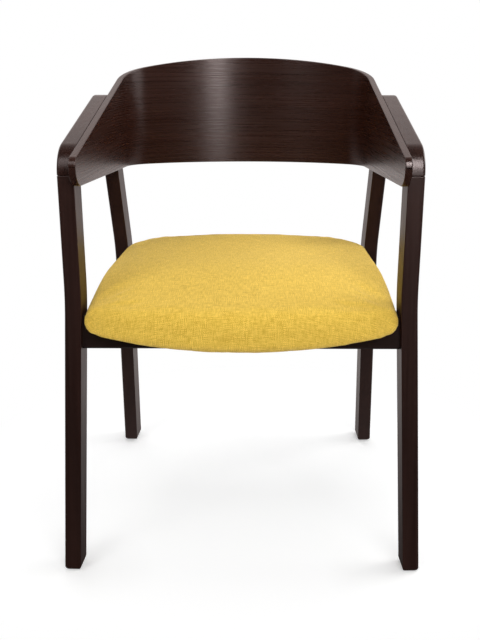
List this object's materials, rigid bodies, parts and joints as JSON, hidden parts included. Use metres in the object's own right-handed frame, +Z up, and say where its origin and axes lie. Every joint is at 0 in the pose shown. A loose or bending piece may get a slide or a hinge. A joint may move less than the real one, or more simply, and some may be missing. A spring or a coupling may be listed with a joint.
{
  "type": "armchair",
  "caption": "Wooden armchair with bent side frames, a moulded plywood back that runs on as inner arms, and an upholstered seat.",
  "frame": {"origin": "on the floor, under the middle of the chair's bounding box", "axes": "+Z up, +X to the right as seen from the front, -Y the way the sitter faces"},
  "size_m": [0.5636, 0.6029, 0.8108],
  "materials": {
    "dark_wood": "satin",
    "dark_plywood": "satin",
    "plain_wood": "matte",
    "foam": "matte",
    "seat_fabric": "matte",
    "black_cloth": "matte",
    "steel": "satin",
    "brass": "satin",
    "glide_plastic": "matte"
  },
  "bodies": {
    "root": {"front_leg_left": "dark_wood", "front_leg_right": "dark_wood", "rear_leg_left": "dark_wood", "rear_leg_right": "dark_wood", "arm_left": "dark_wood", "arm_right": "dark_wood", "back_shell": "dark_plywood", "front_rail": "dark_wood", "rear_rail": "dark_wood", "side_rail_left": "dark_wood", "side_rail_right": "dark_wood", "corner_block_front_left": "plain_wood", "corner_block_front_right": "plain_wood", "corner_block_rear_left": "plain_wood", "corner_block_rear_right": "plain_wood", "seat_board": "plain_wood", "seat_nose_block": "plain_wood", "seat_foam": "foam", "seat_cover": "seat_fabric", "dust_cover": "black_cloth", "arm_front_dowels": "plain_wood", "arm_rear_dowels": "plain_wood", "shell_dowels": "plain_wood", "rail_dowels": "plain_wood", "frame_bolts": "steel", "threaded_inserts": "brass", "corner_block_screws": "steel", "seat_screws": "steel", "foot_glides": "glide_plastic"}
  },
  "joints": []
}
